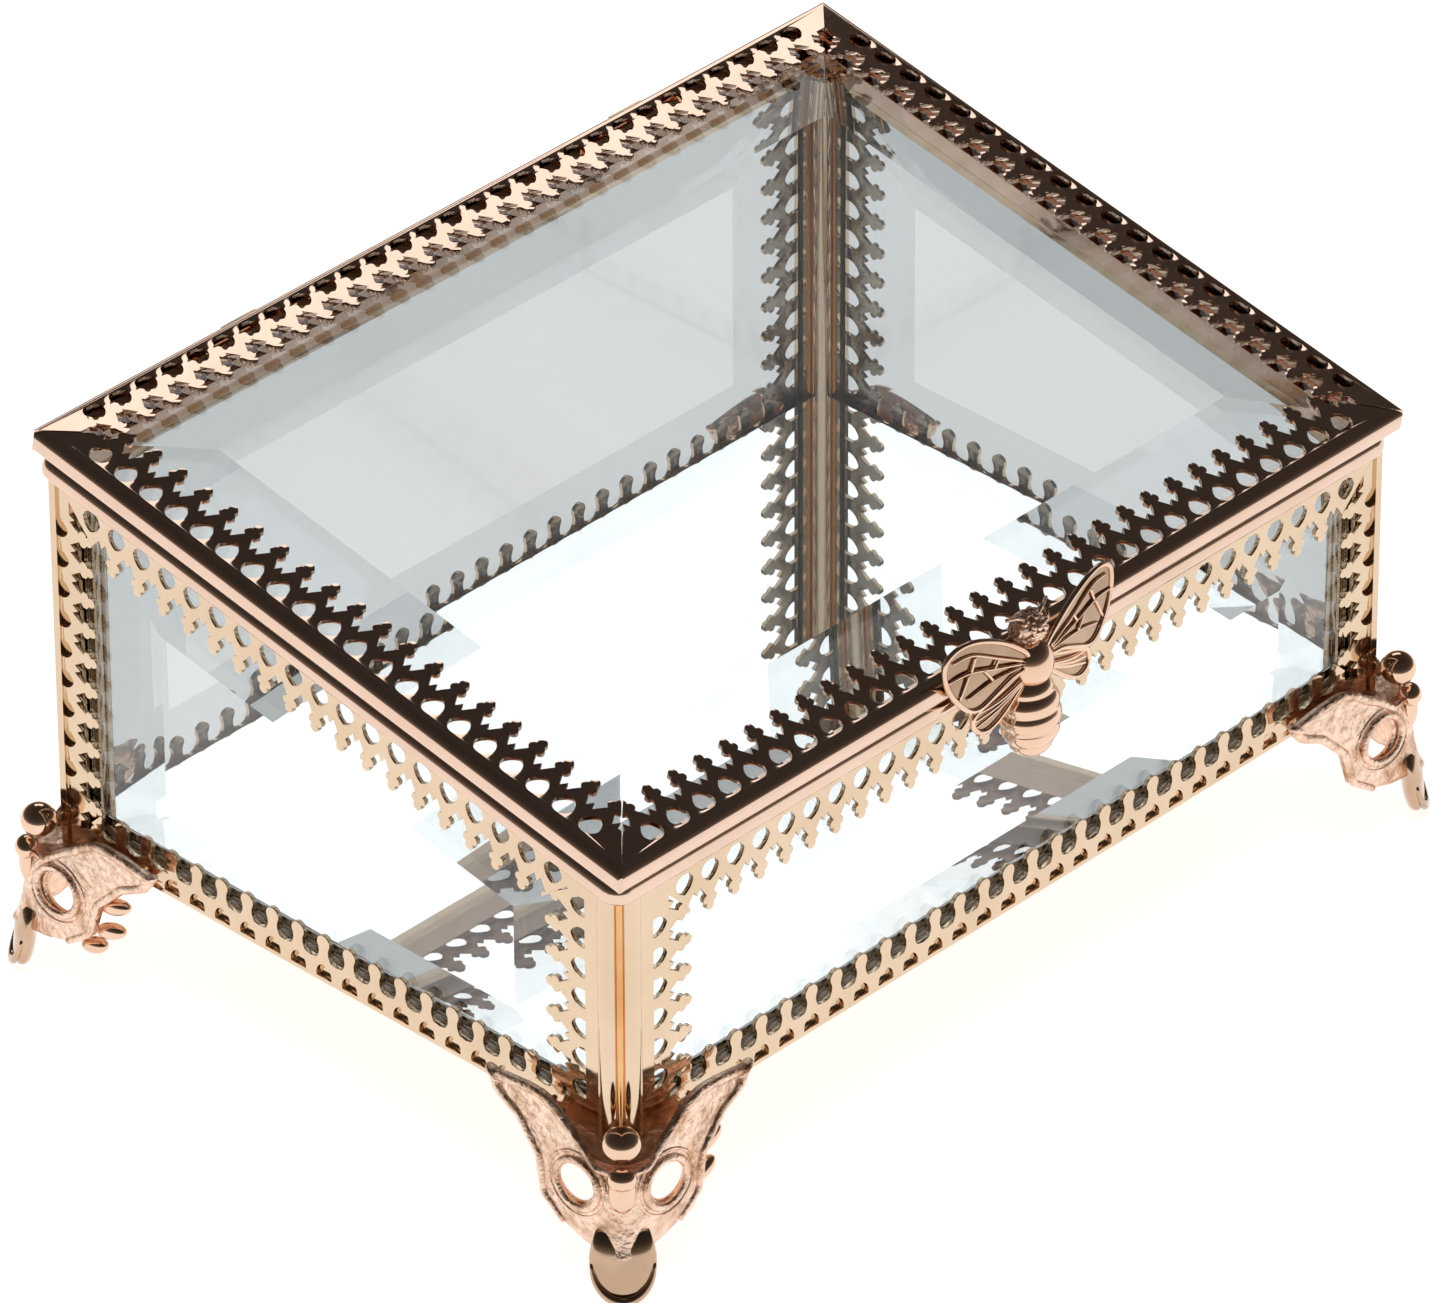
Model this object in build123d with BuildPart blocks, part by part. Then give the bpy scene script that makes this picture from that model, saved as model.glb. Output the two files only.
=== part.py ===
"""Vanity trinket box: bevelled glass panes in pierced rose-gold frames, a sloping
hinged glass lid with a bee lift, a mirror floor and four cast feet.

Frame: +X along the front from left to right, +Y towards the hinges, +Z up.
The origin is on the ground under the middle of the box.  Millimetres.
"""
from build123d import *
import math
import os

# ---------------------------------------------------------------- driving dimensions
BODY_W = 152.0              # across the outer faces of the side walls
BODY_D = 106.8              # across the outer faces of the front and back walls
FOOT_H = 20.0               # ground to the underside of the box
FRONT_H = 39.0              # underside of the box to the rim bead, at the front face
TILT = 10.8                 # slope of the lid, down towards the front, in degrees
BEAD_T = 3.4                # rim bead on top of the walls, square to the slope
BEAD_PROUD = 1.2            # how far the bead stands out past the walls
LID_T = 3.65                # lid frame, square to the slope
LID_GAP = 0.35              # slit between the bead and the closed lid
LID_OVER_X = 1.95           # lid overhang at each side
LID_OVER_Y = 1.8            # lid overhang at front and back

WALL_T = 3.7                # depth of a wall frame
PLATE_FACE = 0.4            # pierced plate set back from the stile tubes
PLATE_T = 0.7               # thickness of the pierced plate
STILE_TUBE_R = 1.75
STILE_TUBE_S = 3.45         # tube centre from the virtual corner, along the wall
STILE_W = 6.8               # virtual corner to the inner edge of a tubed stile's bar
EDGE_W = 1.2                # plain edge of a stile without a tube
EDGE_BAR = 5.6              # virtual corner to the inner edge of that stile's flange
CHANNEL_FLOOR = 4.2         # depth of the glass channel in a stile, from the corner
BOTTOM_BAR = 0.65           # plain edge below the openings of a bottom rail
WEB_H = 1.2                 # closed top of a top rail's glass channel
SILL_FLANGE, HEAD_FLANGE = 2.5, 1.9    # inner flanges that cover the edge of a pane
TOUCH = 0.01                # hairline joint between soldered pieces

GLASS_BACK = 3.03           # inner face of a wall pane, from the wall's outer face
GLASS_EDGE_T = 1.0          # pane thickness at its edge
GLASS_BEVEL_T = 1.25        # extra thickness of the raised middle
BEVEL_SIDE, BEVEL_TOP, BEVEL_BOTTOM = 15.9, 12.3, 11.4
GROOVE_FLOOR, GLASS_LIFT = 1.2, 0.2    # floor of the sill groove, and the pane's rise over it

PITCH = 4.89                # one opening and one finial of the crown gallery
LID_SHIFT = 1.1             # how much of the gallery's plain base each bar hides
TOP_SHIFT, STILE_SHIFT, EDGE_SHIFT, BOTTOM_SHIFT = 0.4, 2.3, 3.0, 2.6

FLOOR_Z = 5.2               # mirror surface above the underside of the box
MIRROR_T = 2.3
TRAY_Z, TRAY_LIP = 0.85, 0.8
HINGE_X = 38.0              # middle of each hinge from the middle of the box
HINGE_L = 18.0
KNUCKLE_R, PIN_R = 1.6, 0.8
PIN_CLEAR = 0.05            # radial clearance of the pins in the knuckles

# ---------------------------------------------------------------- worked-out sizes
HALF_W, HALF_D = BODY_W / 2, BODY_D / 2
SLOPE = math.tan(math.radians(TILT))
COS_T, SIN_T = math.cos(math.radians(TILT)), math.sin(math.radians(TILT))
BACK_H = FRONT_H + BODY_D * SLOPE
CLOSE_MID_Z = FOOT_H + (FRONT_H + BACK_H) / 2 + BEAD_T / COS_T
LID_HALF_X = HALF_W + LID_OVER_X
LID_HALF_V = (HALF_D + LID_OVER_Y) / COS_T
AXIS_Y = HALF_D + BEAD_PROUD + 0.2
AXIS_Z = CLOSE_MID_Z + AXIS_Y * SLOPE


def slope_plane(height):
    """Plane parallel to the closed lid, height above the bead's top face."""
    normal = Vector(0, -SIN_T, COS_T)
    return Plane(origin=Vector(0, 0, CLOSE_MID_Z) + normal * height,
                 x_dir=(1, 0, 0), z_dir=normal)


# ---------------------------------------------------------------- crown gallery
HOLE_LOW, HOLE_WIDE, HOLE_APEX, HOLE_HALF = 1.5, 3.0, 4.9, 1.66
VALLEY_H, THORN_H, TIP_H = 5.25, 6.3, 9.6


def add_opening(s, shift):
    """One egg-shaped opening; a bar that hides its base leaves it flat-bottomed."""
    low = max(HOLE_LOW, shift) - shift
    with BuildLine() as egg:
        apex = (s, HOLE_APEX - shift)
        right, left = (s + HOLE_HALF, HOLE_WIDE - shift), (s - HOLE_HALF, HOLE_WIDE - shift)
        if shift < HOLE_LOW:
            ThreePointArc(left, (s, low), right)
            foot_right, foot_left = right, left
        else:
            foot_right, foot_left = (s + HOLE_HALF * 0.86, low), (s - HOLE_HALF * 0.86, low)
            Line(foot_left, foot_right)
        mid_h = (HOLE_WIDE + HOLE_APEX) / 2 - shift + 0.15
        ThreePointArc(foot_right, (s + HOLE_HALF * 0.68, mid_h), apex)
        ThreePointArc(apex, (s - HOLE_HALF * 0.68, mid_h), foot_left)
    make_face(egg.edges(), mode=Mode.SUBTRACT)


def add_finial_edges(s, shift):
    """Top edge of one cell: thorn, valley, three-lobed finial, valley, thorn."""
    def at(dx, h):
        return (s + dx, h - shift)
    half = PITCH / 2
    Line(at(-half, THORN_H), at(-half + 0.62, VALLEY_H))
    Line(at(-half + 0.62, VALLEY_H), at(-0.62, 7.1))
    ThreePointArc(at(-0.62, 7.1), at(-1.25, 7.95), at(-0.6, 8.45))
    ThreePointArc(at(-0.6, 8.45), at(0, TIP_H), at(0.6, 8.45))
    ThreePointArc(at(0.6, 8.45), at(1.25, 7.95), at(0.62, 7.1))
    Line(at(0.62, 7.1), at(half - 0.62, VALLEY_H))
    Line(at(half - 0.62, VALLEY_H), at(half, THORN_H))


def add_leaf_edges(s, shift):
    """Top edge of one cell of a bottom rail: a plain rounded leaf between valleys."""
    def at(dx, h):
        return (s + dx, h - shift)
    half = PITCH / 2
    Line(at(-half, VALLEY_H + 0.1), at(-1.35, VALLEY_H + 0.35))
    ThreePointArc(at(-1.35, VALLEY_H + 0.35), at(-0.86, 6.9), at(-1.12, 8.0))
    ThreePointArc(at(-1.12, 8.0), at(0.05, TIP_H - 0.1), at(1.12, 8.0))
    ThreePointArc(at(1.12, 8.0), at(0.86, 6.9), at(1.35, VALLEY_H + 0.35))
    Line(at(1.35, VALLEY_H + 0.35), at(half, VALLEY_H + 0.1))


def add_gallery(length, angle_start, angle_end, shift, leaf=False, margin=5.0, gap=TOUCH):
    """Pierced strip in the sketch plane: base along x, finials along +y, mitred ends.

    The angles are the corner angles between this strip's base and its neighbours', margin
    is the least distance from a corner to the middle of the first opening, and gap is
    half the joint that each mitre leaves.
    """
    run_start = 1 / math.tan(math.radians(angle_start / 2))
    run_end = 1 / math.tan(math.radians(angle_end / 2))
    valley = VALLEY_H - shift
    room = length - margin * (run_start + run_end)
    cells = int(room / PITCH) + 1
    first = margin * run_start + (room - (cells - 1) * PITCH) / 2
    centres = [first + k * PITCH for k in range(cells)]
    edge_h = (VALLEY_H + 0.1 if leaf else THORN_H) - shift
    start_s, end_s = centres[0] - PITCH / 2, centres[-1] + PITCH / 2
    with BuildLine() as outline:
        Polyline((end_s, edge_h), (end_s + 0.5, valley), (length + valley, valley),
                 (length + valley, 0), (-valley, 0), (-valley, valley),
                 (start_s - 0.5, valley), (start_s, edge_h))
        for s in centres:
            if leaf:
                add_leaf_edges(s, shift)
            else:
                add_finial_edges(s, shift)
    make_face(outline.edges())
    with BuildLine() as mitres:
        Polyline((gap, 0), (length - gap, 0), (length - TIP_H * run_end - gap, TIP_H),
                 (TIP_H * run_start + gap, TIP_H), close=True)
    make_face(mitres.edges(), mode=Mode.INTERSECT)
    for s in centres:
        add_opening(s, shift)


# ---------------------------------------------------------------- walls
class Wall:
    """One wall seen from outside: corner, direction, width and its two end heights.

    Two opposite corners of the box have tubed stiles, the other two plain edges; tubed
    says which of the wall's ends has the tube.
    """

    def __init__(self, name, corner, along, width, start_h, end_h, tubed):
        self.name, self.width, self.tubed = name, width, tubed
        self.corner = Vector(*corner, FOOT_H)
        self.along = Vector(*along)
        self.inward = Vector(0, 0, 1).cross(self.along)
        self.start_h, self.end_h = start_h, end_h

    def plan(self):
        """Sketch x along the wall, y inward, extrusion up."""
        return Plane(origin=self.corner, x_dir=self.along, z_dir=(0, 0, 1))

    def face(self, depth):
        """Sketch x along the wall, y up, extrusion outward, at a depth into the wall."""
        return Plane(origin=self.corner + self.inward * depth, x_dir=self.along,
                     z_dir=self.inward * -1)

    def section(self, s):
        """Sketch x inward, y up, extrusion along the wall."""
        return Plane(origin=self.corner + self.along * s, x_dir=self.inward, z_dir=self.along)

    def top(self, s):
        """Height of the bead's underside at the outer face."""
        return self.start_h + (self.end_h - self.start_h) * s / self.width

    def inset(self, tube_side, plain_side):
        """Left and right limits that leave one margin at the tubed end, one at the plain end."""
        if self.tubed == "start":
            return tube_side, self.width - plain_side
        return plain_side, self.width - tube_side

    def outline(self, tube_side, plain_side, top_drop, bottom):
        """Corners of a panel inset from the wall, anticlockwise from bottom left."""
        left, right = self.inset(tube_side, plain_side)
        return [(left, bottom), (right, bottom),
                (right, self.top(right) - top_drop), (left, self.top(left) - top_drop)]


WALLS = [
    Wall("front", (-HALF_W, -HALF_D), (1, 0, 0), BODY_W, FRONT_H, FRONT_H, "start"),
    Wall("right", (HALF_W, -HALF_D), (0, 1, 0), BODY_D, FRONT_H, BACK_H, "end"),
    Wall("back", (HALF_W, HALF_D), (-1, 0, 0), BODY_W, BACK_H, BACK_H, "start"),
    Wall("left", (-HALF_W, HALF_D), (0, -1, 0), BODY_D, BACK_H, FRONT_H, "end"),
]
CROWNED_HEADS = ("front", "left")      # the other two walls have a plain head
UNDER_BEAD = slope_plane(-BEAD_T - TOUCH)


def strip_corners(wall):
    """Inner edges of the bars, where the pierced plates start."""
    return wall.outline(STILE_W, EDGE_W, 0, BOTTOM_BAR)


def strip_frame(wall, index):
    """Sketch plane, length and corner angles of one of a wall's four strips."""
    corners = [Vector(x, y) for x, y in strip_corners(wall)]
    here, there = corners[index], corners[(index + 1) % 4]
    before, after = corners[index - 1], corners[(index + 2) % 4]
    face = wall.face(PLATE_FACE)
    run = there - here
    plane = Plane(origin=face.from_local_coords(here),
                  x_dir=face.x_dir * run.X + face.y_dir * run.Y, z_dir=face.z_dir)
    return plane, run.length, (before - here).get_angle(run), (here - there).get_angle(after - there)


def add_wall_strip(wall, index, shift, leaf=False):
    plane, length, angle_start, angle_end = strip_frame(wall, index)
    with BuildSketch(plane) as strip:
        add_gallery(length, angle_start, angle_end, shift, leaf)
    # a chip that a mitre cuts off the last finial is left out
    extrude(strip.sketch.faces().sort_by(SortBy.AREA)[-1], amount=-PLATE_T)


def build_stile(wall, at_end, name):
    """Upright at one end of a wall: a tube or a plain edge, a glass channel and a gallery."""
    def along(s):
        return wall.width - s if at_end else s

    def outline(points, mode=Mode.ADD):
        with BuildLine() as lines:
            Polyline(*[(along(s), depth) for s, depth in points], close=True)
        make_face(lines.edges(), mode=mode)

    tubed = wall.tubed == ("end" if at_end else "start")
    tall = max(wall.start_h, wall.end_h) + 6
    plate_back, channel_back = PLATE_FACE + PLATE_T, GLASS_BACK + 0.02
    with BuildPart() as stile:
        with BuildSketch(wall.plan()):
            if tubed:
                with Locations((along(STILE_TUBE_S), STILE_TUBE_R)):
                    Circle(STILE_TUBE_R)
                outline([(STILE_TUBE_S, PLATE_FACE), (STILE_W, PLATE_FACE), (STILE_W, WALL_T),
                         (STILE_TUBE_S, WALL_T)])
                outline([(CHANNEL_FLOOR, plate_back + 0.15), (STILE_W + 1, plate_back + 0.15),
                         (STILE_W + 1, channel_back), (CHANNEL_FLOOR, channel_back)], Mode.SUBTRACT)
            else:
                outline([(0, 0), (EDGE_W, 0), (EDGE_W, plate_back + TOUCH),
                         (CHANNEL_FLOOR, plate_back + TOUCH), (CHANNEL_FLOOR, channel_back),
                         (EDGE_BAR, channel_back), (EDGE_BAR, WALL_T), (0, WALL_T)])
            outline([(-5, -5 - TOUCH), (8, 8 - TOUCH), (-5, 8 - TOUCH)], Mode.SUBTRACT)
        extrude(amount=tall)
        add_wall_strip(wall, 1 if at_end else 3, STILE_SHIFT if tubed else EDGE_SHIFT)
        split(bisect_by=UNDER_BEAD, keep=Keep.BOTTOM)
    stile.part.label = name
    return stile.part


def build_bottom_rail(wall):
    """Sill of a wall: pierced plate, ledge, glass groove and a flange under the tray."""
    left, right = wall.inset(STILE_W + TOUCH, EDGE_BAR + TOUCH)
    plate_left, plate_right = wall.inset(STILE_W + TOUCH, EDGE_W + TOUCH)
    back, plate_back = GLASS_BACK + 0.02, PLATE_FACE + PLATE_T
    groove_front, ledge_top = back - 1.15, GROOVE_FLOOR + 1.0
    with BuildPart() as rail:
        with BuildSketch(wall.section(left)):
            with BuildLine():
                Polyline((PLATE_FACE, 0), (WALL_T, 0), (WALL_T, SILL_FLANGE), (back, SILL_FLANGE),
                         (back, GROOVE_FLOOR), (groove_front, GROOVE_FLOOR),
                         (groove_front, ledge_top), (plate_back, ledge_top),
                         (plate_back, BOTTOM_BAR), (PLATE_FACE, BOTTOM_BAR), close=True)
            make_face()
        extrude(amount=right - left)
        # lip that carries the tray
        with BuildSketch(wall.section(left + 1.2)):
            with Locations((WALL_T + 1.4, TRAY_LIP / 2)):
                Rectangle(3.0, TRAY_LIP)
        extrude(amount=right - left - 2.4)
        with BuildSketch(wall.face(PLATE_FACE)):
            with Locations(((plate_left + plate_right) / 2, BOTTOM_BAR / 2)):
                Rectangle(plate_right - plate_left, BOTTOM_BAR)
        extrude(amount=-PLATE_T)
        add_wall_strip(wall, 0, BOTTOM_SHIFT, leaf=True)
    rail.part.label = wall.name + "_bottom_rail"
    return rail.part


def build_top_rail(wall):
    """Head of a wall under the bead: web, inner glass flange and, in front, a gallery."""
    def band(drop):
        left, right = wall.inset(STILE_W + TOUCH, EDGE_BAR + TOUCH)
        low_left, low_right = left + 1.25 * drop, right - 1.25 * drop
        return [(low_left, wall.top(low_left) - drop), (low_right, wall.top(low_right) - drop),
                (right, wall.top(right)), (right, wall.top(right) + 2),
                (left, wall.top(left) + 2), (left, wall.top(left))]

    def add_band(depth, drop):
        with BuildSketch(wall.face(depth)) as area:
            with BuildLine():
                Polyline(*band(drop), close=True)
            make_face()
        extrude(area.sketch, amount=depth - WALL_T)

    with BuildPart() as rail:
        add_band(PLATE_FACE, WEB_H)
        add_band(GLASS_BACK + 0.02, HEAD_FLANGE)
        if wall.name in CROWNED_HEADS:
            add_wall_strip(wall, 2, TOP_SHIFT)
        split(bisect_by=UNDER_BEAD, keep=Keep.BOTTOM)
    rail.part.label = wall.name + "_top_rail"
    return rail.part


def build_wall_glass(wall):
    """Clear pane with a wide bevel on its outer face."""
    edge = wall.outline(CHANNEL_FLOOR + GLASS_LIFT, CHANNEL_FLOOR + GLASS_LIFT, WEB_H + 0.1,
                        GROOVE_FLOOR + GLASS_LIFT)
    raised = [(edge[0][0] + BEVEL_SIDE, edge[0][1] + BEVEL_BOTTOM),
              (edge[1][0] - BEVEL_SIDE, edge[1][1] + BEVEL_BOTTOM),
              (edge[2][0] - BEVEL_SIDE, wall.top(edge[2][0] - BEVEL_SIDE) - WEB_H - BEVEL_TOP),
              (edge[3][0] + BEVEL_SIDE, wall.top(edge[3][0] + BEVEL_SIDE) - WEB_H - BEVEL_TOP)]
    with BuildPart() as pane:
        with BuildSketch(wall.face(GLASS_BACK)):
            with BuildLine():
                Polyline(*edge, close=True)
            make_face()
        extrude(amount=GLASS_EDGE_T)
        with BuildSketch(wall.face(GLASS_BACK - GLASS_EDGE_T)):
            with BuildLine():
                Polyline(*edge, close=True)
            make_face()
        with BuildSketch(wall.face(GLASS_BACK - GLASS_EDGE_T - GLASS_BEVEL_T)):
            with BuildLine():
                Polyline(*raised, close=True)
            make_face()
        loft(ruled=True)
    pane.part.label = wall.name + "_glass"
    return pane.part


# ---------------------------------------------------------------- hinges
HINGES = {"left": -HINGE_X, "right": HINGE_X}
KNUCKLE_MID = 6.6           # length of the lid's middle knuckle
KNUCKLE_SIDE = (HINGE_L - KNUCKLE_MID) / 2 - 0.15
RELIEF_R = KNUCKLE_R + 0.25
LEAF_T = 0.6


def pin_sketch(x):
    """Sketch x towards the back, y up, extrusion along +X, centred on the hinge pin."""
    return Plane(origin=(x, AXIS_Y, AXIS_Z), x_dir=(0, 1, 0), z_dir=(1, 0, 0))


def build_body_leaf(side, x):
    """Two outer knuckles on a leaf that is soldered to the back wall's head."""
    leaf_top = -2.4
    face = HALF_D - AXIS_Y + TOUCH
    with BuildPart() as leaf:
        with BuildSketch(pin_sketch(x - HINGE_L / 2)):
            with Locations((face + LEAF_T / 2, leaf_top - 3)):
                Rectangle(LEAF_T, 6)
        extrude(amount=HINGE_L)
        for start in (x - HINGE_L / 2, x + HINGE_L / 2 - KNUCKLE_SIDE):
            with BuildSketch(pin_sketch(start)):
                Circle(KNUCKLE_R)
                with Locations((face + LEAF_T / 2, leaf_top / 2)):
                    Rectangle(LEAF_T, -leaf_top)
                Circle(PIN_R + PIN_CLEAR, mode=Mode.SUBTRACT)
            extrude(amount=KNUCKLE_SIDE)
    leaf.part.label = "hinge_body_leaf_" + side
    return leaf.part


def build_lid_leaf(side, x):
    """Middle knuckle on a strap that is soldered to the lid's back edge."""
    strap_plane = Plane(origin=(x, AXIS_Y, AXIS_Z), x_dir=(0, COS_T, SIN_T), z_dir=(1, 0, 0))
    strap_v = LID_HALF_V - AXIS_Y / COS_T + TOUCH
    with BuildPart() as leaf:
        with BuildSketch(strap_plane.offset(-KNUCKLE_MID / 2)):
            Circle(KNUCKLE_R)
            with Locations((strap_v + LEAF_T / 2, 1.55)):
                Rectangle(LEAF_T, 3.1)
            Circle(PIN_R + PIN_CLEAR, mode=Mode.SUBTRACT)
        extrude(amount=KNUCKLE_MID)
    leaf.part.label = "hinge_lid_leaf_" + side
    return leaf.part


def build_pin(side, x):
    """Hinge pin with two peened heads."""
    head = 0.6
    with BuildPart() as pin:
        with BuildSketch(pin_sketch(x - HINGE_L / 2 - 0.1)):
            Circle(PIN_R)
        extrude(amount=HINGE_L + 0.2)
        for start in (x - HINGE_L / 2 - 0.1 - head, x + HINGE_L / 2 + 0.1):
            with BuildSketch(pin_sketch(start)):
                Circle(1.25)
            extrude(amount=head)
    pin.part.label = "hinge_pin_" + side
    return pin.part


# ---------------------------------------------------------------- rim bead
BEAD_CORNER_R, BEAD_TOP_R, BEAD_LOW_R = 2.9, 2.2, 0.9
with BuildPart() as body_rim:
    with BuildSketch(slope_plane(-BEAD_T)):
        RectangleRounded(2 * (HALF_W + BEAD_PROUD), 2 * (HALF_D + BEAD_PROUD) / COS_T,
                         BEAD_CORNER_R)
    extrude(amount=BEAD_T)
    for height, radius in ((0, BEAD_TOP_R), (-BEAD_T, BEAD_LOW_R)):
        level = slope_plane(height)
        fillet([edge for edge in body_rim.edges()
                if abs(level.to_local_coords(edge.center()).Z) < 0.01], radius)
    with BuildSketch(slope_plane(-BEAD_T)):
        Rectangle(2 * (HALF_W - WALL_T), 2 * (HALF_D - WALL_T) / COS_T)
    extrude(amount=BEAD_T, mode=Mode.SUBTRACT)
    for hinge_x in HINGES.values():
        with BuildSketch(pin_sketch(hinge_x - HINGE_L / 2 - 1.1)):
            Circle(RELIEF_R)
        extrude(amount=HINGE_L + 2.2, mode=Mode.SUBTRACT)
        with BuildSketch(pin_sketch(hinge_x - HINGE_L / 2 - 0.1)):
            with Locations((HALF_D - AXIS_Y + 1, -2.5)):
                Rectangle(2.1, 5)
        extrude(amount=HINGE_L + 0.2, mode=Mode.SUBTRACT)
body_rim.part.label = "body_rim"

# ---------------------------------------------------------------- floor
with BuildPart() as base_tray:
    with BuildSketch(Plane.XY.offset(FOOT_H + TRAY_Z)):
        Rectangle(BODY_W - 2 * WALL_T - 0.4, BODY_D - 2 * WALL_T - 0.4)
    extrude(amount=FLOOR_Z - MIRROR_T - TRAY_Z - TOUCH)
base_tray.part.label = "base_tray"

with BuildPart() as base_mirror:
    with BuildSketch(Plane.XY.offset(FOOT_H + FLOOR_Z - MIRROR_T)):
        Rectangle(BODY_W - 2 * WALL_T - 0.6, BODY_D - 2 * WALL_T - 0.6)
    extrude(amount=MIRROR_T)
base_mirror.part.label = "base_mirror"

# ---------------------------------------------------------------- rods at the corners
CORNERS = {"front_left": (-1, -1), "front_right": (1, -1), "back_left": (-1, 1), "back_right": (1, 1)}
TUBED_CORNERS = ("front_left", "back_right")
SEAM_R, SEAM_IN = 0.45, 1.27           # solder in the outer groove between two tubes
ROD_R = 1.35                           # round rod that stiffens the inside of a corner
ROD_IN = WALL_T + ROD_R + TOUCH


def build_upright(label, sx, sy, inset, radius, start_z):
    """Round rod beside a corner, up to the underside of the bead."""
    with BuildPart() as upright:
        with BuildSketch(Plane.XY.offset(start_z)):
            with Locations((sx * (HALF_W - inset), sy * (HALF_D - inset))):
                Circle(radius)
        extrude(amount=BACK_H + 4)
        split(bisect_by=UNDER_BEAD, keep=Keep.BOTTOM)
    upright.part.label = label
    return upright.part


# ---------------------------------------------------------------- lid
LID_WEB, NARROW_WEB = 2.2, 0.95        # solid nose of a lid rail; back and right are narrow
LID_FLANGE = 3.2            # inner flange under the lid glass
LID_PLATE_EDGE, NARROW_EDGE = 1.9, 0.95    # outer edge of the lid to the pierced plate
NARROW_SHIFT = 1.4
LID_CORNER_R = 0.8
LID_NOSE_LOW_R, LID_NOSE_TOP_R, NARROW_NOSE_R = 1.2, 1.6, 0.7
LID_FLANGE_T = 0.8
LID_MARGIN = 6.9            # lid corner to the middle of the first opening
LID_RISE = math.radians(6.5)    # the lid's finials rise towards the inside


def lid_height(w):
    return slope_plane(LID_GAP + w)


def lid_rail_frame(index):
    """Plane at the lid's underside with x along one outer edge, y inward; and its length."""
    base = lid_height(0)
    corners = [(-LID_HALF_X, -LID_HALF_V), (LID_HALF_X, -LID_HALF_V),
               (LID_HALF_X, LID_HALF_V), (-LID_HALF_X, LID_HALF_V)]
    here, there = Vector(*corners[index]), Vector(*corners[(index + 1) % 4])
    run = there - here
    direction = base.x_dir * run.X + base.y_dir * run.Y
    return Plane(origin=base.from_local_coords(here), x_dir=direction, z_dir=base.z_dir), run.length


def build_lid_rail(index, name):
    """One edge of the lid: rounded nose, glass channel and gallery on top, mitred ends."""
    plane, length = lid_rail_frame(index)
    narrow = index in (1, 2)
    web = NARROW_WEB if narrow else LID_WEB
    plate_edge = NARROW_EDGE if narrow else LID_PLATE_EDGE
    low_r, top_r = (NARROW_NOSE_R, NARROW_NOSE_R) if narrow else (LID_NOSE_LOW_R, LID_NOSE_TOP_R)

    def trapezoid(inner, outer=0.0):
        with BuildLine() as outline:
            Polyline((outer + TOUCH, outer), (length - outer - TOUCH, outer),
                     (length - inner - TOUCH, inner), (inner + TOUCH, inner), close=True)
        make_face(outline.edges())

    def nose_at(height):
        return Vector(length / 2, 0, height)

    with BuildPart() as rail:
        with BuildSketch(plane):
            trapezoid(web)
        extrude(amount=LID_T)
        for height, radius in ((0, low_r), (LID_T, top_r)):
            fillet([edge for edge in rail.edges().filter_by(GeomType.LINE)
                    if edge.length > length / 2
                    and (plane.to_local_coords(edge.center()) - nose_at(height)).length < 0.01], radius)
        with BuildSketch(plane):
            trapezoid(LID_FLANGE, web - 0.2)
        extrude(amount=LID_FLANGE_T)
        with BuildSketch(plane.offset(LID_T)):
            trapezoid(plate_edge + 0.4, plate_edge - 0.2)
        extrude(amount=-PLATE_T)
        strip = Plane(origin=plane.from_local_coords(Vector(plate_edge, plate_edge, LID_T)),
                      x_dir=plane.x_dir,
                      z_dir=plane.z_dir * math.cos(LID_RISE) - plane.y_dir * math.sin(LID_RISE))
        with BuildSketch(strip):
            add_gallery(length - 2 * plate_edge, 90, 90, NARROW_SHIFT if narrow else LID_SHIFT,
                        margin=LID_MARGIN, gap=PLATE_T * math.sin(LID_RISE) + TOUCH)
        extrude(amount=-PLATE_T)
        if name == "lid_back_rail":
            for hinge_x in HINGES.values():
                with BuildSketch(pin_sketch(hinge_x - HINGE_L / 2 - 1.1)):
                    Circle(RELIEF_R)
                extrude(amount=HINGE_L + 2.2, mode=Mode.SUBTRACT)
        with BuildSketch(plane.offset(-1)):
            with BuildLine():
                Polyline((0, 0), (LID_CORNER_R, 0), (0, LID_CORNER_R), close=True)
            make_face()
            with BuildLine():
                Polyline((length, 0), (length - LID_CORNER_R, 0), (length, LID_CORNER_R), close=True)
            make_face()
        extrude(amount=LID_T + 2, mode=Mode.SUBTRACT)
    rail.part.label = name
    return rail.part


LID_EDGE = 2.4              # outer edge of the lid to the edge of its pane
LID_BEVEL, LID_BEVEL_T = 15.6, 1.4
PANE_Z = LID_FLANGE_T + TOUCH
with BuildPart() as lid_glass:
    with BuildSketch(lid_height(PANE_Z)):
        Rectangle(2 * (LID_HALF_X - LID_EDGE), 2 * (LID_HALF_V - LID_EDGE))
    extrude(amount=GLASS_EDGE_T)
    with BuildSketch(lid_height(PANE_Z + GLASS_EDGE_T)):
        Rectangle(2 * (LID_HALF_X - LID_EDGE), 2 * (LID_HALF_V - LID_EDGE))
    with BuildSketch(lid_height(PANE_Z + GLASS_EDGE_T + LID_BEVEL_T)):
        Rectangle(2 * (LID_HALF_X - LID_EDGE - LID_BEVEL), 2 * (LID_HALF_V - LID_EDGE - LID_BEVEL))
    loft(ruled=True)
lid_glass.part.label = "lid_glass"

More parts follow.
